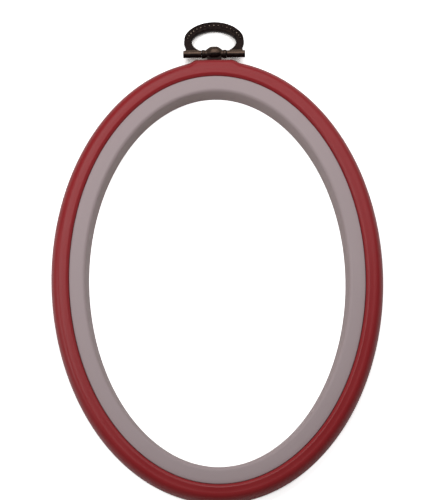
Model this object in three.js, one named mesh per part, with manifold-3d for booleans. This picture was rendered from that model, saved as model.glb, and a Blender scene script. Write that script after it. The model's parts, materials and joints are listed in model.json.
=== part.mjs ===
// Screwless oval embroidery hoop with a hanger: a rigid inner hoop, a flexible outer hoop pushed
// over it, and a cast bail on a three-knuckle hinge at the top. Millimetres. The hoop lies on its
// back, its front faces +Z, and the hanger points to +Y. The origin is under the middle of its box.
import * as THREE from 'three';
import { mergeVertices } from 'three/addons/utils/BufferGeometryUtils.js';
import Module from 'manifold-3d';

// The cloth line is the oval outside of the inner hoop, where the cloth is gripped.
// Both hoops are sections carried round it. Reach is measured square to it, outwards.
const CLOTH_HALF_WIDTH = 64;
const CLOTH_HALF_HEIGHT = 89.5;

// Facets round the ovals, each of the pad's shoulders, the turned pieces, the bail's loop and
// outline, the bulb's shoulders and the corners of the neck and the foot plate
const OVAL_STEPS = 96;
const PAD_STEPS = 4;
const ROUND_STEPS = 24;
const LOOP_STEPS = 24;
const CURVE_STEPS = 14;
const SHOULDER_STEPS = 4;
const CORNER_STEPS = 3;

// Clearances
const HOOP_GAP = 0.3;
const SEAT_GAP = 0.3;
const PIN_GAP = 0.12;
const KNUCKLE_GAP = 0.3;
const TABLE_GAP = 0.15;

// Inner hoop: a rigid channel moulding with a lip round its rear edge
const INNER_WIDTH = 8.25;
const INNER_HEIGHT = 10.5;
const INNER_LEAN = THREE.MathUtils.degToRad(8);
const INNER_ROUND = 1.7;
const INNER_EDGE = 0.4;
const INNER_BROW = 2.4;
const INNER_BROW_DROP = 0.35;
const INNER_WALL = 1.8;
const INNER_FACE_WALL = 2;
const INNER_DRAFT = 0.3;
const INNER_CORNER = 0.8;
const LIP_REACH = 1.2;
const LIP_HEIGHT = 1.2;

// Outer hoop: a domed flexible moulding with a bead along its inner edge
const OUTER_REACH = 8;
const OUTER_HEIGHT = 11.5;
const OUTER_WIDEST_HEIGHT = 3.9;
const OUTER_BACK_ROUND = 1.5;
const BEAD_REACH = 1.8;
const BEAD_DROP = 1.2;
const BEAD_START = THREE.MathUtils.degToRad(135);
const VALLEY_REACH = 2.9;
const VALLEY_DROP = 0.3;
const DOME_REACH = 3.9;
const DOME_DROP = 0.15;

// Pad moulded on the outer hoop, where the hanger enters
const PAD_FLAT = 15.6;
const PAD_FOOT = 23.6;
const PAD_PROUD = 0.2;
const ROUND_SQUARENESS = 2;
const PAD_SQUARENESS = 3.5;

// Hanger base: collared knuckle, bulb, neck and foot plate
const HINGE_OFFSET = 3;
const HINGE_HEIGHT = 5.5;
const KNUCKLE_LENGTH = 10.9;
const COLLAR_RADIUS = 1.85;
const COLLAR_LENGTH = 1.3;
const KNUCKLE_WAIST_RADIUS = 1.7;
const KNUCKLE_CHAMFER = 0.15;
const BULB_RADIUS = 2.8;
const BULB_FLAT = 2;
const BULB_LENGTH = 10.2;
const BULB_END_RADIUS = 0.7;
const BULB_OFFSET = 0.6;
const NECK_WIDTH = 6.3;
const NECK_THICKNESS = 2.6;
const FOOT_WIDTH = 12;
const FOOT_HEIGHT = 7;
const FOOT_THICKNESS = 1.5;
const FOOT_INSET = 0.2;
const PLATE_CORNER = 0.6;

// Bail: a D-shaped loop cast with a barrel at each foot
const BAIL_HALF_WIDTH = 13.25;
const BAIL_REACH = 15.55;
const BAIL_WIDEST = 5.8;
const BAIL_WAIST_HALF_WIDTH = 12.45;
const BAIL_WAIST_REACH = 3;
const BAIL_THICKNESS = 2;
const BAIL_BEVEL = 0.4;
const LOOP_HALF_WIDTH = 9.75;
const LOOP_TOP = 11.7;
const LOOP_MIDDLE = 5.8;
const LOOP_BOTTOM = 0.1;
const BARREL_RADIUS = 1.6;
const HANGER_LENGTH = 27.3;
const LAND_THICKNESS = 2.5;
const LAND_PROUD = 0.2;
const LAND_INSET = 0.45;
const LAND_FROM = THREE.MathUtils.degToRad(7);

// Hinge pin
const PIN_RADIUS = 0.6;
const PIN_CHAMFER = 0.15;

const QUARTER = Math.PI / 2;
const padTop = CLOTH_HALF_HEIGHT + OUTER_REACH + PAD_PROUD;
const hingeY = padTop + HINGE_OFFSET;
const footInner = CLOTH_HALF_HEIGHT + HOOP_GAP + FOOT_INSET;
const bailRest = Math.asin((HINGE_HEIGHT - LAND_THICKNESS / 2 - TABLE_GAP) / (BAIL_REACH + LAND_PROUD));

const vinyl = new THREE.MeshStandardMaterial({ color: 0xa84c4e, roughness: 0.45, metalness: 0 });
const palePlastic = new THREE.MeshStandardMaterial({ color: 0xc9bcc0, roughness: 0.4, metalness: 0 });
const oldBrass = new THREE.MeshStandardMaterial({ color: 0x4a3b2c, roughness: 0.45, metalness: 0.9 });
const pinSteel = new THREE.MeshStandardMaterial({ color: 0x6b5a45, roughness: 0.35, metalness: 1 });

const wasm = await Module();
wasm.setup();

// A closed three.js geometry as a solid, with its shared corners merged
function solidOf(geometry) {
  const bare = geometry.clone();
  bare.deleteAttribute('normal');
  bare.deleteAttribute('uv');
  const merged = mergeVertices(bare);
  const corners = Array.from(merged.index.array);
  const triangles = [];
  for (let i = 0; i < corners.length; i += 3) {
    const [a, b, c] = corners.slice(i, i + 3);
    if (a !== b && b !== c && c !== a) triangles.push(a, b, c);
  }
  return new wasm.Manifold(new wasm.Mesh({
    numProp: 3,
    vertProperties: new Float32Array(merged.attributes.position.array),
    triVerts: new Uint32Array(triangles),
  }));
}

// A named mesh made from a solid
function meshOf(name, solid, material) {
  const { vertProperties, triVerts } = solid.getMesh();
  const geometry = new THREE.BufferGeometry();
  geometry.setAttribute('position', new THREE.BufferAttribute(vertProperties, 3));
  geometry.setIndex(new THREE.BufferAttribute(triVerts, 1));
  const faceted = geometry.toNonIndexed();
  faceted.computeVertexNormals();
  const mesh = new THREE.Mesh(faceted, material);
  mesh.name = name;
  return mesh;
}

// Points along a stretch of an ellipse, or of a squarer curve when squareness is over 2
function bow(centreX, centreY, radiusX, radiusY, from, to, steps, squareness = ROUND_SQUARENESS) {
  const points = [];
  for (let i = 0; i <= steps; i += 1) {
    const angle = from + ((to - from) * i) / steps;
    const bend = (value) => Math.sign(value) * Math.abs(value) ** (2 / squareness);
    points.push(new THREE.Vector2(
      centreX + radiusX * bend(Math.cos(angle)),
      centreY + radiusY * bend(Math.sin(angle)),
    ));
  }
  return points;
}

// The outward direction of the cloth line at an angle round it
function outward(angle) {
  const across = CLOTH_HALF_HEIGHT * Math.cos(angle);
  const along = CLOTH_HALF_WIDTH * Math.sin(angle);
  return new THREE.Vector2(across, along).normalize();
}

function clothPoint(angle) {
  return new THREE.Vector2(CLOTH_HALF_WIDTH * Math.cos(angle), CLOTH_HALF_HEIGHT * Math.sin(angle));
}

// Carries a closed section of (reach, height) points round the cloth line
function sweepOval(sectionAt, angles) {
  const sections = angles.map(sectionAt);
  const count = sections[0].length;
  const positions = [];
  const corners = [];
  angles.forEach((angle, i) => {
    const foot = clothPoint(angle);
    const away = outward(angle);
    const next = (i + 1) % angles.length;
    sections[i].forEach((point, j) => {
      positions.push(foot.x + away.x * point.x, foot.y + away.y * point.x, point.y);
      const above = (j + 1) % count;
      const [a, b] = [i * count + j, i * count + above];
      const [c, d] = [next * count + above, next * count + j];
      corners.push(a, d, c, a, c, b);
    });
  });
  const geometry = new THREE.BufferGeometry();
  geometry.setAttribute('position', new THREE.Float32BufferAttribute(positions, 3));
  geometry.setIndex(corners);
  return geometry;
}

function ovalAngles() {
  return Array.from({ length: OVAL_STEPS }, (_, i) => (i * 2 * Math.PI) / OVAL_STEPS);
}

// The inner hoop's section: its opening wall leans back from the rear to the face, the face falls
// away by a brow at its outer edge, and the channel's walls keep their thickness up to the roof
function innerSection() {
  const inside = -INNER_WIDTH;
  const roof = INNER_HEIGHT - INNER_FACE_WALL;
  const channelIn = inside + INNER_WALL;
  const channelOut = -INNER_WALL;
  const rise = INNER_HEIGHT - INNER_ROUND - INNER_EDGE;
  const lean = Math.tan(INNER_LEAN);
  const roundX = inside + INNER_EDGE + rise * lean + (INNER_ROUND - INNER_EDGE) / Math.cos(INNER_LEAN);
  const wallAngle = 2 * QUARTER - INNER_LEAN;
  return [
    new THREE.Vector2(channelOut, 0),
    new THREE.Vector2(LIP_REACH, 0),
    new THREE.Vector2(LIP_REACH, LIP_HEIGHT),
    new THREE.Vector2(0, LIP_HEIGHT),
    ...bow(-INNER_BROW, INNER_HEIGHT - INNER_BROW_DROP, INNER_BROW, INNER_BROW_DROP, 0, QUARTER, 3),
    ...bow(roundX, INNER_HEIGHT - INNER_ROUND, INNER_ROUND, INNER_ROUND, QUARTER, wallAngle, 4),
    ...bow(inside + INNER_EDGE, INNER_EDGE, INNER_EDGE, INNER_EDGE, wallAngle, 3 * QUARTER, 2),
    new THREE.Vector2(channelIn, 0),
    ...bow(channelIn + roof * lean + INNER_CORNER, roof - INNER_CORNER, INNER_CORNER, INNER_CORNER,
      2 * QUARTER, QUARTER, 2),
    ...bow(channelOut - INNER_DRAFT - INNER_CORNER, roof - INNER_CORNER, INNER_CORNER, INNER_CORNER,
      QUARTER, 0, 2),
  ];
}

function innerHoop() {
  const section = innerSection();
  return solidOf(sweepOval(() => section, ovalAngles()));
}

// The outer hoop's section, from its back round its dome and its bead to its seat on the lip
function outerSection(reach, squareness) {
  const seatReach = LIP_REACH + HOOP_GAP;
  const seatHeight = LIP_HEIGHT + SEAT_GAP;
  const domeTop = OUTER_HEIGHT - DOME_DROP;
  const beadWidth = (HOOP_GAP - BEAD_REACH) / Math.cos(BEAD_START);
  const beadRise = BEAD_DROP / (1 - Math.sin(BEAD_START));
  return [
    new THREE.Vector2(seatReach, 0),
    ...bow(reach - OUTER_BACK_ROUND, OUTER_WIDEST_HEIGHT, OUTER_BACK_ROUND, OUTER_WIDEST_HEIGHT,
      -QUARTER, 0, 4, squareness),
    ...bow(DOME_REACH, OUTER_WIDEST_HEIGHT, reach - DOME_REACH, domeTop - OUTER_WIDEST_HEIGHT,
      0, QUARTER, 7, squareness).slice(1),
    new THREE.Vector2(VALLEY_REACH, OUTER_HEIGHT - VALLEY_DROP),
    ...bow(BEAD_REACH, OUTER_HEIGHT - beadRise, beadWidth, beadRise, QUARTER, BEAD_START, 4),
    new THREE.Vector2(HOOP_GAP, seatHeight),
    new THREE.Vector2(seatReach, seatHeight),
  ];
}

// Near the top of the oval, the outer outline's distance from the middle goes with the cosine
const padScale = CLOTH_HALF_WIDTH + (OUTER_REACH * CLOTH_HALF_HEIGHT) / CLOTH_HALF_WIDTH;

function padAngle(across) {
  return Math.acos(across / padScale);
}

// How far the pad's outline stands out at an angle, with how much of its square section it has
function padAt(angle) {
  const across = Math.abs(Math.cos(angle)) * padScale;
  const flat = PAD_FLAT / 2;
  const foot = PAD_FOOT / 2;
  if (Math.sin(angle) < 0 || across >= foot) return { reach: OUTER_REACH, share: 0 };
  const share = 1 - THREE.MathUtils.smoothstep(across, flat, foot);
  const cornerAngle = padAngle(Math.min(across, flat));
  const full = (padTop - clothPoint(cornerAngle).y) / outward(cornerAngle).y;
  return { reach: THREE.MathUtils.lerp(OUTER_REACH, full, share), share };
}

// The outer hoop's angles, with the pad's shoulders divided evenly from their flat to their foot
function padAngles() {
  const [flat, foot] = [PAD_FLAT / 2, PAD_FOOT / 2];
  const shoulder = Array.from({ length: PAD_STEPS + 1 }, (_, i) => (
    padAngle(THREE.MathUtils.lerp(flat, foot, i / PAD_STEPS))
  ));
  const spacing = padAngle(flat) - padAngle(foot);
  const room = spacing / (2 * PAD_STEPS);
  const elsewhere = ovalAngles().filter((angle) => {
    const mirrored = Math.sin(angle) > 0 && Math.cos(angle) < 0 ? Math.PI - angle : angle;
    return mirrored < padAngle(foot) - room || mirrored > padAngle(flat) + room;
  });
  const both = [...shoulder, ...shoulder.map((angle) => Math.PI - angle)];
  return [...elsewhere, ...both].sort((a, b) => a - b);
}

function box(width, depth, height, x, y, z) {
  return new THREE.BoxGeometry(width, depth, height).translate(x, y, z);
}

function outerHoop() {
  const ring = sweepOval((angle) => {
    const { reach, share } = padAt(angle);
    return outerSection(reach, THREE.MathUtils.lerp(ROUND_SQUARENESS, PAD_SQUARENESS, share));
  }, padAngles());
  const neckLength = padTop - footInner + OUTER_REACH;
  const slot = box(NECK_WIDTH + 2 * SEAT_GAP, neckLength, NECK_THICKNESS + 2 * SEAT_GAP,
    0, footInner + neckLength / 2, HINGE_HEIGHT);
  const recessDepth = FOOT_THICKNESS + SEAT_GAP + LIP_REACH;
  const recess = box(FOOT_WIDTH + 2 * SEAT_GAP, recessDepth, FOOT_HEIGHT + 2 * SEAT_GAP,
    0, footInner + FOOT_THICKNESS + SEAT_GAP - recessDepth / 2, HINGE_HEIGHT);
  return solidOf(ring).subtract(solidOf(slot)).subtract(solidOf(recess));
}

// A turned profile of (radius, place along the axis) points, with its axis along X
function turnedAlongX(profile) {
  const points = profile.map(([radius, along]) => new THREE.Vector2(radius, along));
  return new THREE.LatheGeometry(points, ROUND_STEPS).rotateZ(-QUARTER);
}

function pinBore(length) {
  const radius = PIN_RADIUS + PIN_GAP;
  return solidOf(new THREE.CylinderGeometry(radius, radius, length, ROUND_STEPS).rotateZ(QUARTER));
}

// A flat plate with rounded corners, its face in the XZ plane, between two places along Y
function plateAlongY(width, height, from, to) {
  const corner = Math.min(PLATE_CORNER, height / 2);
  const [x, z] = [width / 2 - corner, height / 2 - corner];
  const outline = new THREE.Shape();
  outline.absarc(x, z, corner, 0, QUARTER);
  outline.absarc(-x, z, corner, QUARTER, 2 * QUARTER);
  outline.absarc(-x, -z, corner, 2 * QUARTER, 3 * QUARTER);
  outline.absarc(x, -z, corner, 3 * QUARTER, 4 * QUARTER);
  const settings = { depth: to - from, bevelEnabled: false, curveSegments: CORNER_STEPS };
  return new THREE.ExtrudeGeometry(outline, settings).rotateX(-QUARTER).translate(0, from, 0);
}

// The hanger base, with the hinge line on the X axis
function hangerBase() {
  const end = KNUCKLE_LENGTH / 2;
  const collar = end - COLLAR_LENGTH;
  const knuckle = turnedAlongX([
    [0, -end], [COLLAR_RADIUS - KNUCKLE_CHAMFER, -end], [COLLAR_RADIUS, KNUCKLE_CHAMFER - end],
    [COLLAR_RADIUS, -collar], [KNUCKLE_WAIST_RADIUS, KNUCKLE_CHAMFER - collar],
    [KNUCKLE_WAIST_RADIUS, collar - KNUCKLE_CHAMFER], [COLLAR_RADIUS, collar],
    [COLLAR_RADIUS, end - KNUCKLE_CHAMFER], [COLLAR_RADIUS - KNUCKLE_CHAMFER, end], [0, end],
  ]);
  const shoulder = (BULB_LENGTH - BULB_FLAT) / 2;
  const rise = BULB_RADIUS - BULB_END_RADIUS;
  const slope = Array.from({ length: SHOULDER_STEPS + 1 }, (_, i) => {
    const share = i / SHOULDER_STEPS;
    const radius = BULB_END_RADIUS + (rise * (1 - Math.cos(share * Math.PI))) / 2;
    return [radius, share * shoulder - BULB_LENGTH / 2];
  });
  const bulb = turnedAlongX([
    [0, -BULB_LENGTH / 2], ...slope,
    ...slope.map(([radius, along]) => [radius, -along]).reverse(), [0, BULB_LENGTH / 2],
  ]).translate(0, BULB_OFFSET, 0);
  const footPlace = footInner - hingeY;
  const neck = plateAlongY(NECK_WIDTH, NECK_THICKNESS, footPlace + FOOT_THICKNESS / 2, 0);
  const foot = plateAlongY(FOOT_WIDTH, FOOT_HEIGHT, footPlace, footPlace + FOOT_THICKNESS);
  return solidOf(knuckle).add(solidOf(bulb)).add(solidOf(neck)).add(solidOf(foot))
    .subtract(pinBore(HANGER_LENGTH));
}

// A flat casting of the given thickness, centred on the XY plane, with rounded edges
function flatCasting(outline, thickness) {
  return new THREE.ExtrudeGeometry(outline, {
    depth: thickness - 2 * BAIL_BEVEL,
    bevelThickness: BAIL_BEVEL,
    bevelSize: BAIL_BEVEL,
    bevelOffset: -BAIL_BEVEL,
    bevelSegments: 2,
    curveSegments: CURVE_STEPS,
  }).translate(0, 0, BAIL_BEVEL - thickness / 2);
}

// The bail, with the hinge line on the X axis and its loop in the XY plane
function bail() {
  const waist = BAIL_WAIST_HALF_WIDTH;
  const footX = HANGER_LENGTH / 2 - BAIL_BEVEL;
  const rise = BAIL_REACH - BAIL_WIDEST;
  const bulge = (BAIL_WAIST_REACH + BAIL_WIDEST) / 2;
  const outline = new THREE.Shape();
  outline.moveTo(-footX, -BARREL_RADIUS / 2);
  outline.lineTo(footX, -BARREL_RADIUS / 2);
  outline.lineTo(footX, 0);
  outline.quadraticCurveTo(waist, BARREL_RADIUS, waist, BAIL_WAIST_REACH);
  outline.quadraticCurveTo(BAIL_HALF_WIDTH, bulge, BAIL_HALF_WIDTH, BAIL_WIDEST);
  outline.absellipse(0, BAIL_WIDEST, BAIL_HALF_WIDTH, rise, 0, Math.PI);
  outline.quadraticCurveTo(-BAIL_HALF_WIDTH, bulge, -waist, BAIL_WAIST_REACH);
  outline.quadraticCurveTo(-waist, BARREL_RADIUS, -footX, 0);
  const upper = bow(0, LOOP_MIDDLE, LOOP_HALF_WIDTH, LOOP_TOP - LOOP_MIDDLE, 0, Math.PI, LOOP_STEPS);
  const lower = bow(0, LOOP_MIDDLE, LOOP_HALF_WIDTH, LOOP_MIDDLE - LOOP_BOTTOM,
    Math.PI, 2 * Math.PI, LOOP_STEPS);
  outline.holes.push(new THREE.Path([...upper, ...lower.slice(1, -1)]));

  const land = new THREE.Shape();
  land.absellipse(0, BAIL_WIDEST, BAIL_HALF_WIDTH + LAND_PROUD, rise + LAND_PROUD,
    LAND_FROM, Math.PI - LAND_FROM);
  land.absellipse(0, LOOP_MIDDLE, LOOP_HALF_WIDTH + LAND_INSET, LOOP_TOP + LAND_INSET - LOOP_MIDDLE,
    Math.PI - LAND_FROM, LAND_FROM, true);
  land.closePath();

  const knuckleRoom = KNUCKLE_LENGTH + 2 * KNUCKLE_GAP;
  const roomReach = LOOP_MIDDLE;
  const room = box(knuckleRoom, 2 * roomReach, 2 * roomReach, 0, 0, 0);
  const barrels = new THREE.CylinderGeometry(BARREL_RADIUS, BARREL_RADIUS, HANGER_LENGTH, ROUND_STEPS);
  return solidOf(flatCasting(outline, BAIL_THICKNESS))
    .add(solidOf(flatCasting(land, LAND_THICKNESS)))
    .add(solidOf(barrels.rotateZ(QUARTER)))
    .subtract(solidOf(room))
    .subtract(pinBore(2 * HANGER_LENGTH));
}

function hingePin() {
  const end = HANGER_LENGTH / 2;
  return solidOf(turnedAlongX([
    [0, -end], [PIN_RADIUS - PIN_CHAMFER, -end], [PIN_RADIUS, PIN_CHAMFER - end],
    [PIN_RADIUS, end - PIN_CHAMFER], [PIN_RADIUS - PIN_CHAMFER, end], [0, end],
  ]));
}

// The bail swings on its pin, and at rest its tip lies on what the hoop lies on
const swing = new THREE.Group();
swing.rotation.x = -bailRest;
swing.add(meshOf('bail', bail(), oldBrass));
swing.add(meshOf('hinge_pin', hingePin(), pinSteel));

const hanger = new THREE.Group();
hanger.position.set(0, hingeY, HINGE_HEIGHT);
hanger.add(meshOf('hanger_base', hangerBase(), oldBrass), swing);

const hoop = new THREE.Group();
hoop.add(meshOf('inner_hoop', innerHoop(), palePlastic));
hoop.add(meshOf('outer_hoop', outerHoop(), vinyl));
hoop.add(hanger);

// Puts the origin under the middle of the whole box
const middle = new THREE.Box3().setFromObject(hoop, true).getCenter(new THREE.Vector3());
hoop.position.y = -middle.y;

export default hoop;
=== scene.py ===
"""Screwless oval embroidery hoop with a cast hanger, lying on its back on a pale surface.

Blender units are metres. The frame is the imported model, and every piece is built round it.
"""
import json
import math

import bmesh
import bpy
import numpy as np
from mathutils import Matrix, Vector


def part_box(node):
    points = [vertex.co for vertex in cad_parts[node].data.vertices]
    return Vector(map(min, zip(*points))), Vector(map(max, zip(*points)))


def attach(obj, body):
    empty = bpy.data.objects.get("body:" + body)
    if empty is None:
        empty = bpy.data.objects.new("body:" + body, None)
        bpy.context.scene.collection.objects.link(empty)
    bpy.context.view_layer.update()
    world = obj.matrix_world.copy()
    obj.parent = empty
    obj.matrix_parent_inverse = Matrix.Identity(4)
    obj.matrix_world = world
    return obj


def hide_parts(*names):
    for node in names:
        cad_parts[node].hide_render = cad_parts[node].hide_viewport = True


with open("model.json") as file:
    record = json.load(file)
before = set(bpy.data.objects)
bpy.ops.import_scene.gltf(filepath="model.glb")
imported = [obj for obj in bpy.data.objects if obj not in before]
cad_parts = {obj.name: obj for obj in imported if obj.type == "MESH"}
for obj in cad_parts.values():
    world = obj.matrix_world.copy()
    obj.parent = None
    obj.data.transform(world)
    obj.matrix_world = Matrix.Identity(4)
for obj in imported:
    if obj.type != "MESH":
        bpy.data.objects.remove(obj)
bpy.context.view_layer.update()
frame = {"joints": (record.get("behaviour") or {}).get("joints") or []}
scene = bpy.context.scene
scene.view_settings.view_transform = "Standard"

MM = 0.001

# Camera: it looks down on the hoop from a little below its middle, through a long lens.
CAMERA_TILT = math.radians(-11.01)
CAMERA_LEAN = math.radians(0.32)
CAMERA_ROLL = math.radians(0.75)
CAMERA_OFFSET = Vector((-0.09 * MM, -13.53 * MM, -1145.1 * MM))
FOCAL_PIXELS = 2629.1
PHOTO_HEIGHT = 500
SENSOR_HEIGHT = 36.0
CAMERA_NEAR = 0.01
CAMERA_FAR = 20

inner_low, inner_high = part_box("inner_hoop")
OVAL_MIDDLE = (inner_low + inner_high) / 2

turn = (
    Matrix.Rotation(CAMERA_ROLL, 3, "Z")
    @ Matrix.Rotation(CAMERA_LEAN, 3, "Y")
    @ Matrix.Rotation(CAMERA_TILT, 3, "X")
)
look = turn.transposed()
place = Vector((OVAL_MIDDLE.x, OVAL_MIDDLE.y, 0)) - look @ CAMERA_OFFSET

camera_data = bpy.data.cameras.new("camera")
camera_data.sensor_fit = "VERTICAL"
camera_data.sensor_height = SENSOR_HEIGHT
camera_data.lens = FOCAL_PIXELS / PHOTO_HEIGHT * SENSOR_HEIGHT
camera_data.clip_start = CAMERA_NEAR
camera_data.clip_end = CAMERA_FAR
camera = bpy.data.objects.new("camera", camera_data)
scene.collection.objects.link(camera)
camera.matrix_world = Matrix.Translation(place) @ look.to_4x4()
scene.camera = camera


# Inner hoop: a rigid pale plastic moulding. Its opening wall leans back to a rounded edge, its
# face falls away at the outer edge, and its back is cored to a channel. The outer hoop seats on
# the lip round its rear edge.
LIP_REACH = 1.2 * MM
LIP_HEIGHT = 1.2 * MM
LIP_EDGE = 0.3 * MM
INNER_WIDTH = 8.25 * MM
INNER_LEAN = math.radians(8)
INNER_ROUND = 1.7 * MM
INNER_EDGE = 0.4 * MM
INNER_BROW = 2.4 * MM
INNER_BROW_DROP = 0.35 * MM
INNER_WALL = 1.8 * MM
INNER_FACE_WALL = 2 * MM
INNER_DRAFT = 0.3 * MM
INNER_CORNER = 0.8 * MM
INNER_HEIGHT = inner_high.z
CLOTH_HALF_WIDTH = inner_high.x - LIP_REACH
CLOTH_HALF_HEIGHT = (inner_high.y - inner_low.y) / 2 - LIP_REACH
OVAL_STEPS = 720
LIP_STEPS = 4
BROW_STEPS = 10
WALL_ROUND_STEPS = 12
CORNER_STEPS = 5
SPIN_RADIUS = 0.2
SHARP_ANGLE = math.radians(38)
QUARTER = math.pi / 2
PLASTIC_DULL = (0.404, 0.322, 0.330)
PLASTIC_CLEAN = (0.446, 0.358, 0.367)
PLASTIC_CLOUDS = 28
PLASTIC_WAVES = 90
PLASTIC_GRAIN = 2600
PLASTIC_GRAIN_SHARE = 0.25
PLASTIC_RELIEF = 0.06 * MM
PLASTIC_SMOOTH = 0.46
PLASTIC_ROUGH = 0.54
SOFT_SPECULAR = 0.3
BUMP_STRENGTH = 0.5
NOISE_LOW = 0.3
NOISE_MIDDLE = 0.5
NOISE_HIGH = 0.7


def bow(middle, radii, start, end, steps, squareness=2.0):
    """Points along a stretch of an ellipse, or of a squarer curve when squareness is over 2."""
    points = []
    for i in range(steps + 1):
        angle = start + (end - start) * i / steps
        across, up = math.cos(angle), math.sin(angle)
        points.append((
            middle[0] + radii[0] * math.copysign(abs(across) ** (2 / squareness), across),
            middle[1] + radii[1] * math.copysign(abs(up) ** (2 / squareness), up),
        ))
    return points


def arc(middle, radius, start, end, steps):
    return bow(middle, (radius, radius), start, end, steps)


def cloth_point(angle):
    return Vector((
        OVAL_MIDDLE.x + CLOTH_HALF_WIDTH * math.cos(angle),
        OVAL_MIDDLE.y + CLOTH_HALF_HEIGHT * math.sin(angle),
        0,
    ))


def outward(angle):
    return Vector((
        CLOTH_HALF_HEIGHT * math.cos(angle), CLOTH_HALF_WIDTH * math.sin(angle), 0,
    )).normalized()


def sweep_oval(section, reach_at=None):
    """Spins a closed section of (reach, height) points and lays it along the cloth line."""
    bm = bmesh.new()
    corners = [bm.verts.new((SPIN_RADIUS + reach, 0, height)) for reach, height in section]
    for here, after in zip(corners, corners[1:] + corners[:1]):
        bm.edges.new((here, after))
    bmesh.ops.spin(
        bm, geom=bm.verts[:] + bm.edges[:], cent=(0, 0, 0), axis=(0, 0, 1),
        angle=2 * math.pi, steps=OVAL_STEPS, use_merge=True,
    )
    for vert in bm.verts:
        angle = math.atan2(vert.co.y, vert.co.x)
        reach = math.hypot(vert.co.x, vert.co.y) - SPIN_RADIUS
        height = vert.co.z
        if reach_at:
            reach, height = reach_at(angle, reach, height)
        vert.co = cloth_point(angle) + outward(angle) * reach + Vector((0, 0, height))
    bmesh.ops.recalc_face_normals(bm, faces=bm.faces)
    return bm


def finished(name, bm):
    """Turns a bmesh into a smooth shaded object with its sharp edges kept."""
    mesh = bpy.data.meshes.new(name)
    bm.to_mesh(mesh)
    bm.free()
    mesh.shade_smooth()
    mesh.set_sharp_from_angle(angle=SHARP_ANGLE)
    made = bpy.data.objects.new(name, mesh)
    scene.collection.objects.link(made)
    return made


class Wire:
    """A node socket that works in a Python expression."""

    def __init__(self, shade, socket):
        self.shade, self.socket = shade, socket

    def maths(self, operation, first, second):
        return self.shade.node("ShaderNodeMath", {"operation": operation}, {0: first, 1: second})

    def __add__(self, other):
        return self.maths("ADD", self, other)

    def __sub__(self, other):
        return self.maths("SUBTRACT", self, other)

    def __rsub__(self, other):
        return self.maths("SUBTRACT", other, self)

    def __mul__(self, other):
        return self.maths("MULTIPLY", self, other)

    __radd__ = __add__
    __rmul__ = __mul__


class Shade:
    """A finish's node tree. One method adds any node, and the rest are short forms of it."""

    def __init__(self, finish):
        finish.use_nodes = True
        self.whole = finish
        self.tree = finish.node_tree
        self.tree.nodes.clear()

    def node(self, kind, settings=None, sockets=None, output=0):
        """Adds a node with its settings first, then values or links for its sockets."""
        made = self.tree.nodes.new(kind)
        for key, value in (settings or {}).items():
            setattr(made, key, value)
        for key, value in (sockets or {}).items():
            socket = made.inputs[key]
            if isinstance(value, Wire):
                self.tree.links.new(value.socket, socket)
            elif socket.type == "RGBA":
                socket.default_value = (*value, 1)
            else:
                socket.default_value = value
        return Wire(self, made.outputs[output]) if made.outputs else made

    def noise(self, scale, detail):
        place = self.node("ShaderNodeTexCoord", output="Object")
        return self.node(
            "ShaderNodeTexNoise", None,
            {"Vector": place, "Scale": scale, "Detail": detail}, output="Fac")

    def between(self, value, low, high, start=0.0, end=1.0):
        """The value's stretch from low to high, as a smooth step from start to end."""
        return self.node(
            "ShaderNodeMapRange", {"interpolation_type": "SMOOTHSTEP"},
            {0: value, 1: low, 2: high, 3: start, 4: end})

    def mixed(self, share, first, second):
        """Two colours mixed by a share."""
        return self.node(
            "ShaderNodeMix", {"data_type": "RGBA"}, {0: share, 6: first, 7: second}, output=2)

    def bump(self, height, distance):
        return self.node(
            "ShaderNodeBump", None,
            {"Height": height, "Distance": distance, "Strength": BUMP_STRENGTH})

    def finish(self, sockets):
        """Ends the material with a Principled shader."""
        shader = self.node("ShaderNodeBsdfPrincipled", None, sockets)
        self.node("ShaderNodeOutputMaterial", None, {"Surface": shader})
        return self.whole


def pale_plastic():
    """Pale warm grey moulded plastic: satin, with faint flow clouds and a fine moulded grain."""
    shade = Shade(bpy.data.materials.new("pale_plastic"))
    clouds = shade.noise(PLASTIC_CLOUDS, 3)
    colour = shade.mixed(clouds, PLASTIC_DULL, PLASTIC_CLEAN)
    grain = shade.noise(PLASTIC_GRAIN, 2)
    waves = shade.noise(PLASTIC_WAVES, 1)
    relief = grain * PLASTIC_GRAIN_SHARE + waves
    return shade.finish({
        "Base Color": colour,
        "Roughness": shade.between(
            clouds, NOISE_LOW, NOISE_HIGH, PLASTIC_SMOOTH, PLASTIC_ROUGH),
        "Specular IOR Level": SOFT_SPECULAR,
        "Normal": shade.bump(relief, PLASTIC_RELIEF),
    })


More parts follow.
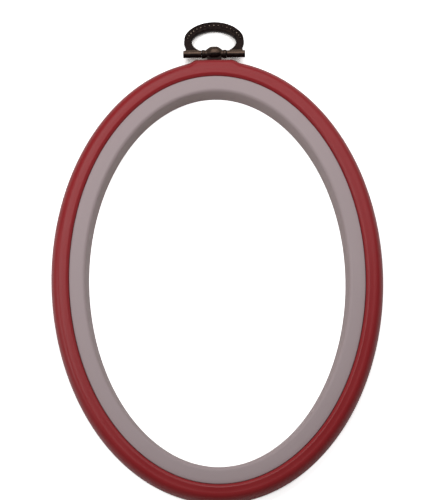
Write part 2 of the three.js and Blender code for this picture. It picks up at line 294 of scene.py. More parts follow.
def inner_section():
    inside = -INNER_WIDTH
    roof = INNER_HEIGHT - INNER_FACE_WALL
    channel_in = inside + INNER_WALL
    channel_out = -INNER_WALL
    edge = INNER_EDGE
    lean = math.tan(INNER_LEAN)
    rise = INNER_HEIGHT - INNER_ROUND - edge
    round_reach = inside + edge + rise * lean + (INNER_ROUND - edge) / math.cos(INNER_LEAN)
    wall_angle = 2 * QUARTER - INNER_LEAN
    brow = (-INNER_BROW, INNER_HEIGHT - INNER_BROW_DROP)
    top_in = (channel_in + roof * lean + INNER_CORNER, roof - INNER_CORNER)
    top_out = (channel_out - INNER_DRAFT - INNER_CORNER, roof - INNER_CORNER)
    lip = LIP_REACH - LIP_EDGE
    return [
        (channel_out, 0),
        *arc((lip, LIP_EDGE), LIP_EDGE, -QUARTER, 0, LIP_STEPS),
        *arc((lip, LIP_HEIGHT - LIP_EDGE), LIP_EDGE, 0, QUARTER, LIP_STEPS),
        (0, LIP_HEIGHT),
        *bow(brow, (INNER_BROW, INNER_BROW_DROP), 0, QUARTER, BROW_STEPS),
        *arc(
            (round_reach, INNER_HEIGHT - INNER_ROUND), INNER_ROUND,
            QUARTER, wall_angle, WALL_ROUND_STEPS),
        *arc((inside + edge, edge), edge, wall_angle, 3 * QUARTER, CORNER_STEPS),
        (channel_in, 0),
        *arc(top_in, INNER_CORNER, 2 * QUARTER, QUARTER, CORNER_STEPS),
        *arc(top_out, INNER_CORNER, QUARTER, 0, CORNER_STEPS),
    ]


inner_hoop = finished("inner_hoop_moulding", sweep_oval(inner_section()))
inner_hoop.data.materials.append(pale_plastic())
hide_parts("inner_hoop")
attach(inner_hoop, "inner")


# Outer hoop: one flexible vinyl moulding, stretched over the inner hoop. A soft bead runs along
# its inner edge, the dome falls away outwards, and a flat-topped pad at the top takes the hanger.
HOOP_GAP = 0.2 * MM
SEAT_GAP = 0.15 * MM
outer_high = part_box("outer_hoop")[1]
OUTER_REACH = outer_high.x - CLOTH_HALF_WIDTH
OUTER_HEIGHT = outer_high.z
OUTER_WIDEST_HEIGHT = 3.9 * MM
OUTER_BACK_ROUND = 1.5 * MM
BEAD_REACH = 1.8 * MM
BEAD_DROP = 1.2 * MM
BEAD_START = math.radians(135)
VALLEY_REACH = 2.9 * MM
VALLEY_DROP = 0.3 * MM
DOME_REACH = 3.9 * MM
DOME_DROP = 0.15 * MM
DOME_SQUARENESS = 2.3
PAD_HALF_FLAT = 7.8 * MM
PAD_HALF_FOOT = 11.8 * MM
PAD_SQUARENESS = 3.5
NECK_WIDTH = 6.3 * MM
NECK_THICKNESS = 2.6 * MM
FOOT_WIDTH = 12 * MM
FOOT_HEIGHT = 7 * MM
FOOT_THICKNESS = 1.5 * MM
FOOT_REACH = 0.5 * MM
FOOT_GAP = 0.3 * MM
SLOT_ROUND = 0.6 * MM
RECESS_ROUND = 0.8 * MM
SLOT_ROUND_STEPS = 4
BACK_STEPS = 10
DOME_STEPS = 20
BEAD_STEPS = 12
VINYL_DEEP = (0.284, 0.0140, 0.0180)
VINYL_LIGHT = (0.328, 0.0190, 0.0230)
VINYL_MOTTLE = 55
VINYL_WAVES = 120
VINYL_GRAIN = 1900
VINYL_GRAIN_SHARE = 0.3
VINYL_RELIEF = 0.08 * MM
VINYL_SMOOTH = 0.30
VINYL_ROUGH = 0.37

pad_top = outer_high.y
foot_inner = OVAL_MIDDLE.y + CLOTH_HALF_HEIGHT + FOOT_REACH
hinge = next(joint for joint in frame["joints"] if joint["name"] == "bail_hinge")
hinge_line = Vector(hinge["pos_m"])


def outer_section():
    seat_reach = LIP_REACH + HOOP_GAP
    seat_height = LIP_HEIGHT + SEAT_GAP
    dome_top = OUTER_HEIGHT - DOME_DROP
    back = (OUTER_REACH - OUTER_BACK_ROUND, OUTER_WIDEST_HEIGHT)
    dome = (DOME_REACH, OUTER_WIDEST_HEIGHT)
    dome_radii = (OUTER_REACH - DOME_REACH, dome_top - OUTER_WIDEST_HEIGHT)
    bead_radii = (
        (BEAD_REACH - HOOP_GAP) / -math.cos(BEAD_START), BEAD_DROP / (1 - math.sin(BEAD_START)))
    bead = (BEAD_REACH, OUTER_HEIGHT - bead_radii[1])
    return [
        (seat_reach, 0),
        *bow(back, (OUTER_BACK_ROUND, OUTER_WIDEST_HEIGHT), -QUARTER, 0, BACK_STEPS),
        *bow(dome, dome_radii, 0, QUARTER, DOME_STEPS, DOME_SQUARENESS)[1:],
        (VALLEY_REACH, OUTER_HEIGHT - VALLEY_DROP),
        *bow(bead, bead_radii, QUARTER, BEAD_START, BEAD_STEPS),
        (HOOP_GAP, seat_height),
        (seat_reach, seat_height),
    ]


def pad_reach(angle, reach, height):
    """Swells the section outwards round the hanger, to the pad's flat outline."""
    scale = CLOTH_HALF_WIDTH + OUTER_REACH * CLOTH_HALF_HEIGHT / CLOTH_HALF_WIDTH
    across = abs(math.cos(angle)) * scale
    if math.sin(angle) < 0 or across >= PAD_HALF_FOOT or reach <= DOME_REACH:
        return reach, height
    share = min(1, (PAD_HALF_FOOT - across) / (PAD_HALF_FOOT - PAD_HALF_FLAT))
    share = share * share * (3 - 2 * share)
    at = math.acos(min(across, PAD_HALF_FLAT) / scale)
    full = (pad_top - cloth_point(at).y) / outward(at).y
    wide = OUTER_REACH + (full - OUTER_REACH) * share
    out = (reach - DOME_REACH) / (OUTER_REACH - DOME_REACH)
    squarer = out ** (2 / (2 + (PAD_SQUARENESS - 2) * share))
    return DOME_REACH + (wide - DOME_REACH) * squarer, height


def block(low, high, rounding):
    """A box between two corners, with its edges along Y rounded, for cutting a slot."""
    bm = bmesh.new()
    bmesh.ops.create_cube(bm, size=1)
    size = Vector(high) - Vector(low)
    bmesh.ops.scale(bm, vec=size, verts=bm.verts)
    bmesh.ops.translate(bm, vec=(Vector(high) + Vector(low)) / 2, verts=bm.verts)
    long_edges = [e for e in bm.edges if abs(e.verts[0].co.y - e.verts[1].co.y) > size.y / 2]
    bmesh.ops.bevel(
        bm, geom=long_edges, offset=rounding, segments=SLOT_ROUND_STEPS, profile=0.5,
        affect="EDGES", material=-1,
    )
    return finished("cutter", bm)


def applied(piece):
    """Replaces a piece's mesh with what its modifiers make of it."""
    bpy.context.view_layer.update()
    shown = piece.evaluated_get(bpy.context.evaluated_depsgraph_get())
    made = bpy.data.meshes.new_from_object(shown)
    piece.modifiers.clear()
    piece.data = made
    return piece


def cut(piece, cutter):
    """Cuts a hole with a boolean and removes the cutter."""
    boolean = piece.modifiers.new("cut", "BOOLEAN")
    boolean.operation = "DIFFERENCE"
    boolean.solver = "EXACT"
    boolean.object = cutter
    applied(piece)
    bpy.data.objects.remove(cutter)
    return piece


def red_vinyl():
    """Flexible rose-red vinyl: a satin skin with faint mottling and a fine soft grain."""
    shade = Shade(bpy.data.materials.new("red_vinyl"))
    mottle = shade.noise(VINYL_MOTTLE, 4)
    colour = shade.mixed(mottle, VINYL_DEEP, VINYL_LIGHT)
    grain = shade.noise(VINYL_GRAIN, 3)
    waves = shade.noise(VINYL_WAVES, 2)
    relief = grain * VINYL_GRAIN_SHARE + waves
    return shade.finish({
        "Base Color": colour,
        "Roughness": shade.between(mottle, NOISE_LOW, NOISE_HIGH, VINYL_SMOOTH, VINYL_ROUGH),
        "Specular IOR Level": SOFT_SPECULAR,
        "Normal": shade.bump(relief, VINYL_RELIEF),
    })


outer_hoop = finished("outer_hoop_moulding", sweep_oval(outer_section(), pad_reach))
slot_half = Vector((NECK_WIDTH / 2 + FOOT_GAP, 0, NECK_THICKNESS / 2 + FOOT_GAP))
recess_half = Vector((FOOT_WIDTH / 2 + FOOT_GAP, 0, FOOT_HEIGHT / 2 + FOOT_GAP))
slot_middle = Vector((0, 0, hinge_line.z))
slot_out = Vector((0, pad_top + OUTER_REACH, 0))
recess_out = Vector((0, foot_inner + FOOT_THICKNESS + FOOT_GAP, 0))
recess_in = Vector((0, foot_inner - OUTER_REACH / 2, 0))
cut(outer_hoop, block(
    slot_middle - slot_half + recess_in, slot_middle + slot_half + slot_out, SLOT_ROUND))
cut(outer_hoop, block(
    slot_middle - recess_half + recess_in, slot_middle + recess_half + recess_out,
    RECESS_ROUND))
outer_hoop.data.set_sharp_from_angle(angle=SHARP_ANGLE)
outer_hoop.data.materials.clear()
outer_hoop.data.materials.append(red_vinyl())
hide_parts("outer_hoop")
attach(outer_hoop, "outer")


# Hanger base: the hanger's middle knuckle, cast in antiqued brass. Two collars and an acorn bulb
# sit on the hinge line, and its neck goes through the pad's slot to a foot plate behind the wall.
# The bail's reach and tilt stand here too, because the finish they share rubs its bead tops.
KNUCKLE_HALF = 5.45 * MM
COLLAR_RADIUS = 1.92 * MM
COLLAR_LENGTH = 1.3 * MM
KNUCKLE_WAIST = 1.7 * MM
BULB_RADIUS = 2.8 * MM
BULB_HALF_FLAT = 1 * MM
BULB_HALF = 5.1 * MM
BULB_END_RADIUS = 0.7 * MM
BULB_OFFSET = 0.6 * MM
PIN_RADIUS = 0.6 * MM
PIN_GAP = 0.12 * MM
CAST_VOXEL = 0.1 * MM
# Polish and painted highlight on the knuckles: how far round the hinge line it reaches on the
# bulb and on the barrels.
BULB_POLISH_AND_HIGHLIGHT = 3.3 * MM
BARREL_POLISH_AND_HIGHLIGHT = 1.65 * MM
BULB_SHARE = 0.5
JOINT_GRIME = 0.35 * MM
# The lighter bronze is kept to the knuckles' upper side, away from the hoop: a painted highlight
# as well as polish.
HIGHLIGHT_SIDE_FROM = -0.4 * MM
HIGHLIGHT_SIDE_FULL = 0.6 * MM
RUB_FROM = 1.32 * MM
RUB_FULL = 1.42 * MM
BARREL_CLEAR = 2 * MM
BAIL_REACH = 15.55 * MM
LAND_THICKNESS = 2.5 * MM
LAND_PROUD = 0.2 * MM
TABLE_GAP = 0.15 * MM
HANGER_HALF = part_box("hinge_pin")[1].x
ROUND_STEPS = 48
BULB_STEPS = 12
WELD_DISTANCE = 0.001 * MM
CAST_SMOOTHING = 3
SMOOTHING_FACTOR = 0.5
WEAR_ROUNDS = 3
POLISH_AND_HIGHLIGHT_FADE = 1.4
BLOTCH_GRAIN = 900
FINE_GRAIN = 4200
FINE_SHARE = 0.6
PATCH_GRAIN = 300
PATCH_LOW = 0.4
PATCH_HIGH = 0.6
PATCH_LEAST = 0.25
WORN_BLOTCH = 0.03
WORN_FROM = 0.055
WORN_FULL = 0.085
DULL_LOW = 0.35
BRASS_BLACK = (0.010, 0.0055, 0.0050)
BRASS_BROWN = (0.021, 0.0120, 0.0100)
BRASS_THIN = (0.045, 0.031, 0.022)
# Bronze of the polished band on the knuckles' upper side, partly a painted highlight.
BRASS_WARM = (0.120, 0.076, 0.054)
BRASS_BRIGHT = (0.180, 0.119, 0.086)
BRASS_RUBBED = (0.36, 0.28, 0.22)
BRASS_GRIME = (0.004, 0.0025, 0.002)
FINISH_METAL = 0.8
BRASS_ROUGHNESS = 0.42
POLISH = 0.18
GRIME_ROUGHNESS = 0.4
FINE_ROUGHNESS = 0.1
BRASS_RELIEF = 0.04 * MM

bail_rest = math.asin(
    (hinge_line.z - LAND_THICKNESS / 2 - TABLE_GAP) / (BAIL_REACH + LAND_PROUD)
)


def turned(bm, profile):
    """Spins a profile of (along, radius) points round the X axis, from axis to axis."""
    before = set(bm.verts)
    points = [bm.verts.new((along, 0, radius)) for along, radius in profile]
    edges = [bm.edges.new(pair) for pair in zip(points, points[1:])]
    bmesh.ops.spin(
        bm, geom=points + edges, cent=(0, 0, 0), axis=(1, 0, 0),
        angle=2 * math.pi, steps=ROUND_STEPS, use_merge=True,
    )
    made = [vert for vert in bm.verts if vert not in before]
    bmesh.ops.remove_doubles(bm, verts=made, dist=WELD_DISTANCE)
    made = [vert for vert in bm.verts if vert not in before]
    return made


def cast(name, bm):
    """Fuses overlapping closed shells into one casting with softened edges."""
    bmesh.ops.recalc_face_normals(bm, faces=bm.faces)
    piece = finished(name, bm)
    remesh = piece.modifiers.new("fuse", "REMESH")
    remesh.mode = "VOXEL"
    remesh.voxel_size = CAST_VOXEL
    soften = piece.modifiers.new("soften", "SMOOTH")
    soften.factor = SMOOTHING_FACTOR
    soften.iterations = CAST_SMOOTHING
    applied(piece)
    piece.data.shade_smooth()
    return piece


def rod(half, radius):
    """A closed round cutter along the hinge line, about the origin."""
    bm = bmesh.new()
    turned(bm, [(-half, 0), (-half, radius), (half, radius), (half, 0)])
    bmesh.ops.recalc_face_normals(bm, faces=bm.faces)
    return finished("cutter", bm)


def place_on_hinge(piece, tilt=0.0):
    """Turns a piece made about the origin by its tilt and puts it on the hinge line."""
    piece.data.transform(Matrix.Translation(hinge_line) @ Matrix.Rotation(tilt, 4, "X"))
    return piece


def mark_wear(piece):
    """Stores how far each point of a casting stands proud of its neighbours, as an attribute."""
    mesh = piece.data
    count = len(mesh.vertices)
    places = np.empty(count * 3)
    normals = np.empty(count * 3)
    ends = np.empty(len(mesh.edges) * 2, dtype=int)
    mesh.vertices.foreach_get("co", places)
    mesh.vertices.foreach_get("normal", normals)
    mesh.edges.foreach_get("vertices", ends)
    places, normals, ends = places.reshape(-1, 3), normals.reshape(-1, 3), ends.reshape(-1, 2)
    degree = np.bincount(ends.ravel(), minlength=count)[:, None].clip(1)

    def neighbours(values):
        total = np.zeros_like(values)
        np.add.at(total, ends[:, 0], values[ends[:, 1]])
        np.add.at(total, ends[:, 1], values[ends[:, 0]])
        return total / degree

    proud = ((places - neighbours(places)) * normals).sum(1, keepdims=True) / CAST_VOXEL
    for _ in range(WEAR_ROUNDS):
        proud = (proud + neighbours(proud)) / 2
    layer = mesh.attributes.new("proud", "FLOAT", "POINT")
    layer.data.foreach_set("value", proud.ravel().astype(np.float32))


def old_brass():
    """Antiqued brass: a brown-black finish, polished and a lighter bronze on the upper side of
    the knuckles, which is partly real polish and partly a painted highlight; thin on edges,
    rubbed through to bright metal on the tops of the beads, and dull with grime in the joints."""
    shade = Shade(bpy.data.materials.new("old_brass"))
    proud = shade.node("ShaderNodeAttribute", {"attribute_name": "proud"}, output="Fac")
    place = shade.node("ShaderNodeTexCoord", output="Object")
    along, back, up = (
        shade.node("ShaderNodeSeparateXYZ", None, {"Vector": place}, output=axis) - middle
        for axis, middle in zip("XYZ", hinge_line))
    # Polish near the hinge line, with a painted highlight: the lighter bronze is kept to the
    # upper side of the knuckles, where the light catches them.
    polish_and_highlight_spread = shade.between(
        along * along, BULB_HALF ** 2, KNUCKLE_HALF ** 2,
        BULB_POLISH_AND_HIGHLIGHT ** -2, BARREL_POLISH_AND_HIGHLIGHT ** -2)
    off_hinge = back * back + up * up
    polish_and_highlight = shade.between(off_hinge * polish_and_highlight_spread, 1, POLISH_AND_HIGHLIGHT_FADE, 1, 0)
    polish_and_highlight = polish_and_highlight * shade.between(back, HIGHLIGHT_SIDE_FROM, HIGHLIGHT_SIDE_FULL)
    polish_and_highlight = polish_and_highlight * shade.between(
        along * along, BULB_HALF ** 2, KNUCKLE_HALF ** 2, BULB_SHARE, 1)
    off_joint = along * along - KNUCKLE_HALF ** 2
    grime = shade.between(off_joint * off_joint, 0, (2 * KNUCKLE_HALF * JOINT_GRIME) ** 2, 1, 0)
    grime = grime * shade.between(off_hinge, COLLAR_RADIUS ** 2, BULB_RADIUS ** 2, 1, 0)
    blotch = shade.noise(BLOTCH_GRAIN, 4)
    fine = shade.noise(FINE_GRAIN, 3)
    off_plane = back * math.sin(bail_rest) + up * math.cos(bail_rest)
    height = shade.between(off_plane * off_plane, RUB_FROM ** 2, RUB_FULL ** 2)
    rubbed = height * shade.between(back, BARREL_CLEAR, 2 * BARREL_CLEAR)
    rubbed = rubbed * shade.between(
        shade.noise(PATCH_GRAIN, 1), PATCH_LOW, PATCH_HIGH, PATCH_LEAST, 1)
    worn = shade.between(proud + (blotch - NOISE_MIDDLE) * WORN_BLOTCH, WORN_FROM, WORN_FULL)
    dull = shade.between(blotch, DULL_LOW, NOISE_HIGH)
    dark = shade.mixed(dull, BRASS_BLACK, BRASS_BROWN)
    thin = shade.mixed(worn, dark, BRASS_THIN)
    # The lighter bronze of the painted highlight and polish on the knuckles' upper side.
    bright = shade.mixed(dull, BRASS_WARM, BRASS_BRIGHT)
    clean = shade.mixed(rubbed, shade.mixed(polish_and_highlight, thin, bright), BRASS_RUBBED)
    colour = shade.mixed(grime, clean, BRASS_GRIME)
    relief = fine * FINE_SHARE + blotch
    polished = BRASS_ROUGHNESS - (polish_and_highlight + rubbed) * POLISH
    return shade.finish({
        "Base Color": colour,
        "Metallic": rubbed * (1 - FINISH_METAL) + FINISH_METAL,
        "Roughness": polished + grime * GRIME_ROUGHNESS + (fine - NOISE_MIDDLE) * FINE_ROUGHNESS,
        "Specular IOR Level": SOFT_SPECULAR,
        "Normal": shade.bump(relief, BRASS_RELIEF),
    })


def base_shells():
    bm = bmesh.new()
    step = COLLAR_LENGTH
    end, waist, collar = KNUCKLE_HALF, KNUCKLE_WAIST, COLLAR_RADIUS
    turned(bm, [
        (-end, 0), (-end, collar), (step - end, collar), (step - end, waist),
        (end - step, waist), (end - step, collar), (end, collar), (end, 0),
    ])
    rise = BULB_RADIUS - BULB_END_RADIUS
    slope = []
    for i in range(BULB_STEPS + 1):
        share = i / BULB_STEPS
        radius = BULB_END_RADIUS + rise * (1 - math.cos(share * math.pi)) / 2
        slope.append((share * (BULB_HALF - BULB_HALF_FLAT) - BULB_HALF, radius))
    mirrored = [(-along, radius) for along, radius in reversed(slope)]
    bulb = turned(bm, [(-BULB_HALF, 0), *slope, *mirrored, (BULB_HALF, 0)])
    bmesh.ops.translate(bm, vec=(0, BULB_OFFSET, 0), verts=bulb)
    plate_place = foot_inner - hinge_line.y
    for half_width, half_height, start, stop in (
        (NECK_WIDTH / 2, NECK_THICKNESS / 2, plate_place + FOOT_THICKNESS / 2, 0),
        (FOOT_WIDTH / 2, FOOT_HEIGHT / 2, plate_place, plate_place + FOOT_THICKNESS),
    ):
        cube = bmesh.ops.create_cube(bm, size=2)["verts"]
        bmesh.ops.scale(bm, vec=(half_width, (stop - start) / 2, half_height), verts=cube)
        bmesh.ops.translate(bm, vec=(0, (stop + start) / 2, 0), verts=cube)
    return bm


hanger_base = cast("hanger_base_casting", base_shells())
cut(hanger_base, rod(HANGER_HALF, PIN_RADIUS + PIN_GAP))
place_on_hinge(hanger_base)
mark_wear(hanger_base)
brass = old_brass()
hanger_base.data.materials.clear()
hanger_base.data.materials.append(brass)
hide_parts("hanger_base")
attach(hanger_base, "outer")


# Bail: the D-shaped loop, cast in the same antiqued brass. A flat arch with a raised land
# carries a row of small beads between plain rims, and each of its feet ends in a barrel that
# swings on the pin.
BAIL_HALF_WIDTH = 13.25 * MM
BAIL_WIDEST = 5.8 * MM
BAIL_WAIST_HALF_WIDTH = 12.45 * MM
BAIL_WAIST_REACH = 3 * MM
BAIL_THICKNESS = 2 * MM
BAIL_EDGE = 0.4 * MM
BAIL_FOOT_REACH = 0.5 * MM
LOOP_HALF_WIDTH = 9.75 * MM
LOOP_TOP = 11.7 * MM
LOOP_MIDDLE = 5.8 * MM
LOOP_BOTTOM = 0.1 * MM
BARREL_RADIUS = 1.6 * MM
BARREL_EDGE = 0.12 * MM
KNUCKLE_GAP = 0.03 * MM
LAND_INSET = 0.45 * MM
LAND_FROM = math.radians(7)
RIM_WIDTH = 0.5 * MM
RIM_EDGE = 0.15 * MM
RIM_FADE = 8
BEAD_RADIUS = 0.5 * MM
BEAD_COUNT = 17
BEAD_SINK = 0.05 * MM
ARCH_STEPS = 96
LEG_STEPS = 9
SLAB_ROUND_STEPS = 3
SLAB_SHARP = math.radians(50)


def arch_point(angle, half_width, middle, rise):
    return Vector((half_width * math.cos(angle), middle + rise * math.sin(angle), 0))


def outer_edge(angle, proud=0.0):
    return arch_point(
        angle, BAIL_HALF_WIDTH + proud, BAIL_WIDEST, BAIL_REACH - BAIL_WIDEST + proud)


def loop_edge(angle, inset=0.0):
    return arch_point(
        angle, LOOP_HALF_WIDTH + inset, LOOP_MIDDLE, LOOP_TOP - LOOP_MIDDLE + inset)


def pulled(start, pull, end, steps):
    """The points after the first of a curve between two points, drawn towards a third."""
    shares = [i / steps for i in range(1, steps + 1)]
    return [start.lerp(pull, s).lerp(pull.lerp(end, s), s) for s in shares]


def leg_points(side):
    """The outer and inner edges of one leg, from its widest down to its foot."""
    knuckle_edge = KNUCKLE_HALF + KNUCKLE_GAP
    widest = Vector((BAIL_HALF_WIDTH, BAIL_WIDEST, 0))
    bulge = Vector((BAIL_HALF_WIDTH, (BAIL_WAIST_REACH + BAIL_WIDEST) / 2, 0))
    waist = Vector((BAIL_WAIST_HALF_WIDTH, BAIL_WAIST_REACH, 0))
    hollow = Vector((BAIL_WAIST_HALF_WIDTH, BARREL_RADIUS, 0))
    foot = Vector((HANGER_HALF - BAIL_EDGE, BAIL_FOOT_REACH, 0))
    outer = pulled(widest, bulge, waist, LEG_STEPS) + pulled(waist, hollow, foot, LEG_STEPS)
    last = math.acos(knuckle_edge / LOOP_HALF_WIDTH)
    drop = LOOP_MIDDLE - LOOP_BOTTOM
    inner = [
        Vector((across, up, 0))
        for across, up in bow((0, LOOP_MIDDLE), (LOOP_HALF_WIDTH, drop), 0, -last, 2 * LEG_STEPS)
    ][1:]
    inner[-1].y = BAIL_FOOT_REACH
    mirror = Matrix.Diagonal((side, 1, 1))
    return [mirror @ point for point in outer], [mirror @ point for point in inner]


def slab(bm, outer, inner, thickness, rounding):
    """A flat strip between two edges, given its thickness about the XY plane and rounded."""
    before = set(bm.verts)
    chains = []
    for chain in (outer, inner):
        verts = [bm.verts.new(point) for point in chain]
        chains += [bm.edges.new(pair) for pair in zip(verts, verts[1:])]
    faces = bmesh.ops.bridge_loops(bm, edges=chains)["faces"]
    lifted = bmesh.ops.extrude_face_region(bm, geom=faces)["geom"]
    tops = [item for item in lifted if isinstance(item, bmesh.types.BMVert)]
    bmesh.ops.translate(bm, vec=(0, 0, thickness), verts=tops)
    made = [vert for vert in bm.verts if vert not in before]
    bmesh.ops.translate(bm, vec=(0, 0, -thickness / 2), verts=made)
    own = {edge for vert in made for edge in vert.link_edges}
    bmesh.ops.recalc_face_normals(bm, faces=list({f for e in own for f in e.link_faces}))
    rims = [edge for edge in own if edge.calc_face_angle(0) > SLAB_SHARP]
    bmesh.ops.bevel(
        bm, geom=rims, offset=rounding, segments=SLAB_ROUND_STEPS, profile=0.5,
        affect="EDGES", material=-1)


def bail_shells():
    bm = bmesh.new()
    right_outer, right_inner = leg_points(1)
    left_outer, left_inner = leg_points(-1)
    sweep = [math.pi * i / ARCH_STEPS for i in range(ARCH_STEPS + 1)]
    slab(
        bm,
        right_outer[::-1] + [outer_edge(angle) for angle in sweep] + left_outer,
        right_inner[::-1] + [loop_edge(angle) for angle in sweep] + left_inner,
        BAIL_THICKNESS, BAIL_EDGE,
    )
    span = [LAND_FROM + (math.pi - 2 * LAND_FROM) * i / ARCH_STEPS for i in range(ARCH_STEPS + 1)]
    proud = [
        LAND_PROUD * min(1, i / RIM_FADE, (ARCH_STEPS - i) / RIM_FADE)
        for i in range(ARCH_STEPS + 1)
    ]
    slab(
        bm,
        [outer_edge(angle, out) for angle, out in zip(span, proud)],
        [outer_edge(angle, out - RIM_WIDTH) for angle, out in zip(span, proud)],
        LAND_THICKNESS, RIM_EDGE,
    )
    slab(
        bm,
        [loop_edge(angle, LAND_INSET + RIM_WIDTH) for angle in span],
        [loop_edge(angle, LAND_INSET) for angle in span],
        LAND_THICKNESS, RIM_EDGE,
    )
    for i in range(BEAD_COUNT):
        angle = span[0] + (span[-1] - span[0]) * (i + 0.5) / BEAD_COUNT
        middle = (outer_edge(angle, LAND_PROUD) + loop_edge(angle, LAND_INSET)) / 2
        for side in (1, -1):
            middle.z = side * (BAIL_THICKNESS / 2 - BEAD_SINK)
            bmesh.ops.create_icosphere(
                bm, subdivisions=3, radius=BEAD_RADIUS, matrix=Matrix.Translation(middle))
    knuckle_edge = KNUCKLE_HALF + KNUCKLE_GAP
    for side in (1, -1):
        near, far = side * knuckle_edge, side * HANGER_HALF
        turned(bm, [
            (near, 0), (near, BARREL_RADIUS), (far - side * BARREL_EDGE, BARREL_RADIUS),
            (far, BARREL_RADIUS - BARREL_EDGE), (far, 0),
        ])
    return bm


bail = cast("bail_casting", bail_shells())
cut(bail, rod(2 * HANGER_HALF, PIN_RADIUS + PIN_GAP))
place_on_hinge(bail, -bail_rest)
mark_wear(bail)
bail.data.materials.clear()
bail.data.materials.append(brass)
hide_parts("bail")
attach(bail, "hanging_loop")


# Hinge pin: a straight metal pin pushed through the three knuckles. Its ends are peened to
# shallow domes that hold it in, and it turns with the bail.
PIN_DOME = 0.12 * MM
PIN_STEPS = 6
PIN_DARK = (0.05, 0.038, 0.03)
PIN_WORN = (0.24, 0.19, 0.14)
PIN_SCUFF = 3000
PIN_RELIEF = 0.03 * MM
PIN_SMOOTH = 0.3
PIN_ROUGH = 0.5


def pin_metal():
    """The pin's dark finish, scuffed through to bare metal in specks."""
    shade = Shade(bpy.data.materials.new("pin_metal"))
    scuff = shade.noise(PIN_SCUFF, 3)
    colour = shade.mixed(scuff, PIN_DARK, PIN_WORN)
    return shade.finish({
        "Base Color": colour,
        "Metallic": 1.0,
        "Roughness": shade.between(scuff, NOISE_LOW, NOISE_HIGH, PIN_SMOOTH, PIN_ROUGH),
        "Normal": shade.bump(scuff, PIN_RELIEF),
    })


pin_mesh = bmesh.new()
dome = [
    (HANGER_HALF - PIN_DOME * (1 - math.cos(angle)), PIN_RADIUS * math.sin(angle))
    for angle in (i / PIN_STEPS * QUARTER for i in range(PIN_STEPS + 1))
]
turned(pin_mesh, [(-along, radius) for along, radius in dome] + dome[::-1])
bmesh.ops.recalc_face_normals(pin_mesh, faces=pin_mesh.faces)
hinge_pin = place_on_hinge(finished("hinge_pin_rod", pin_mesh), -bail_rest)
hinge_pin.data.materials.append(pin_metal())
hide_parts("hinge_pin")
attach(hinge_pin, "hanging_loop")


# Stage: a white surface under soft daylight. The strongest lamp is high over the upper left,
# with lower ones at the left, at the upper right and beyond the hanger.
FLOOR_SIZE = 4.0
FLOOR_BOUNCE = (0.44, 0.35, 0.28)
FLOOR_GLOW = 0.8
# Painted shade in crevices: where ambient occlusion finds the floor hemmed in, the camera sees
# darker paper instead of the bright white.
PAINTED_SHADE_REACH = 10 * MM
PAINTED_SHADE_FULL = 0.35
PAINTED_SHADE_NONE = 0.5
PAINTED_SHADE_SAMPLES = 8
WHITE = (1, 1, 1)
LAMP_SIZE = 0.2
# Name, azimuth and elevation in degrees, distance in metres, and power in watts.
LAMPS = (
    ("high_light", -32, 70, 0.35, 0.36),
    ("left_light", -92, 36, 0.38, 0.30),
    ("right_light", 44, 45, 0.3, 0.17),
    ("far_window", 3, 42, 0.45, 0.28),
)
ROOM_LIGHT = 0.2
HORIZON_LOW = 0.1
HORIZON_HIGH = 0.2


def ray_kind(shade, kind):
    return shade.node("ShaderNodeLightPath", output=kind)


def background_rays(shade):
    """One for the rays that show the background: from the camera, a gloss or something clear."""
    camera_ray, glossy = ray_kind(shade, "Is Camera Ray"), ray_kind(shade, "Is Glossy Ray")
    return camera_ray + glossy + ray_kind(shade, "Is Transmission Ray")


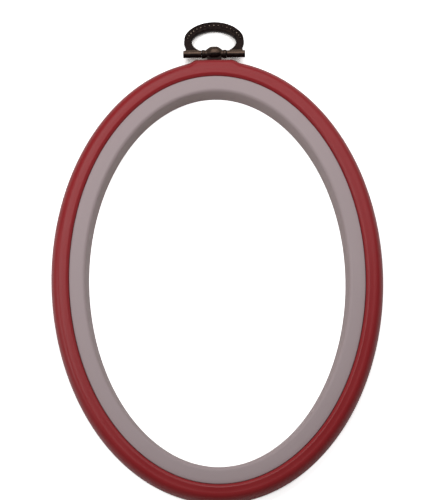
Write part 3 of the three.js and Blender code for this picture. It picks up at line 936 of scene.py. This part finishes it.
def white_surface():
    """Warm paper where it only bounces light, and white where it is seen. The camera sees it
    brighter still, so that shadows on it are faint. In deep crevices, found by ambient
    occlusion, the camera sees the darker warm paper instead: painted shade."""
    shade = Shade(bpy.data.materials.new("white_surface"))
    paper = shade.node("ShaderNodeBsdfDiffuse", None, {"Color": FLOOR_BOUNCE})
    sheet = shade.node("ShaderNodeBsdfDiffuse", None, {"Color": WHITE})
    glow = shade.node("ShaderNodeEmission", None, {"Color": WHITE, "Strength": FLOOR_GLOW})
    bright = shade.node("ShaderNodeAddShader", None, {0: sheet, 1: glow})
    # Painted shade: where ambient occlusion finds a crevice, the camera sees the darker paper
    # instead of the bright white.
    open_sky = shade.node(
        "ShaderNodeAmbientOcclusion", {"samples": PAINTED_SHADE_SAMPLES},
        {"Distance": PAINTED_SHADE_REACH}, output="AO")
    clear = shade.between(open_sky, PAINTED_SHADE_FULL, PAINTED_SHADE_NONE)
    floor_with_painted_shade = shade.node("ShaderNodeMixShader", None, {0: clear, 1: paper, 2: bright})
    shown = shade.node(
        "ShaderNodeMixShader", None, {0: ray_kind(shade, "Is Camera Ray"), 1: sheet, 2: floor_with_painted_shade})
    both = shade.node(
        "ShaderNodeMixShader", None, {0: background_rays(shade), 1: paper, 2: shown})
    shade.node("ShaderNodeOutputMaterial", None, {"Surface": both})
    return shade.whole


floor_mesh = bmesh.new()
bmesh.ops.create_grid(floor_mesh, x_segments=1, y_segments=1, size=FLOOR_SIZE / 2)
floor = finished("floor", floor_mesh)
floor.data.materials.append(white_surface())


def lamp(name, azimuth, elevation, distance, power):
    """A square soft light that points at the middle of the hoop. Azimuth turns from the top."""
    data = bpy.data.lights.new(name, "AREA")
    data.shape = "SQUARE"
    data.size = LAMP_SIZE
    data.energy = power
    made = bpy.data.objects.new(name, data)
    scene.collection.objects.link(made)
    turned_to = Matrix.Rotation(-math.radians(azimuth), 3, "Z")
    away = turned_to @ Matrix.Rotation(math.radians(elevation), 3, "X") @ Vector((0, 1, 0))
    made.location = OVAL_MIDDLE + away * distance
    made.rotation_euler = (-away).to_track_quat("-Z", "Y").to_euler()
    return made


def pale_room():
    """A dim even light, and a white horizon where the room itself is seen."""
    shade = Shade(bpy.data.worlds.new("room"))
    direction = shade.node("ShaderNodeTexCoord", output="Generated")
    height = shade.node("ShaderNodeSeparateXYZ", None, {"Vector": direction}, output="Z")
    near_horizon = shade.between(height, HORIZON_LOW, HORIZON_HIGH, 1, 0)
    dim = shade.node(
        "ShaderNodeBackground", None, {"Color": WHITE, "Strength": ROOM_LIGHT})
    white = shade.node("ShaderNodeBackground", None, {"Color": WHITE, "Strength": 1.0})
    both = shade.node(
        "ShaderNodeMixShader", None,
        {0: background_rays(shade) * near_horizon, 1: dim, 2: white})
    shade.node("ShaderNodeOutputWorld", None, {"Surface": both})
    return shade.whole


for lamp_values in LAMPS:
    lamp(*lamp_values)
scene.world = pale_room()
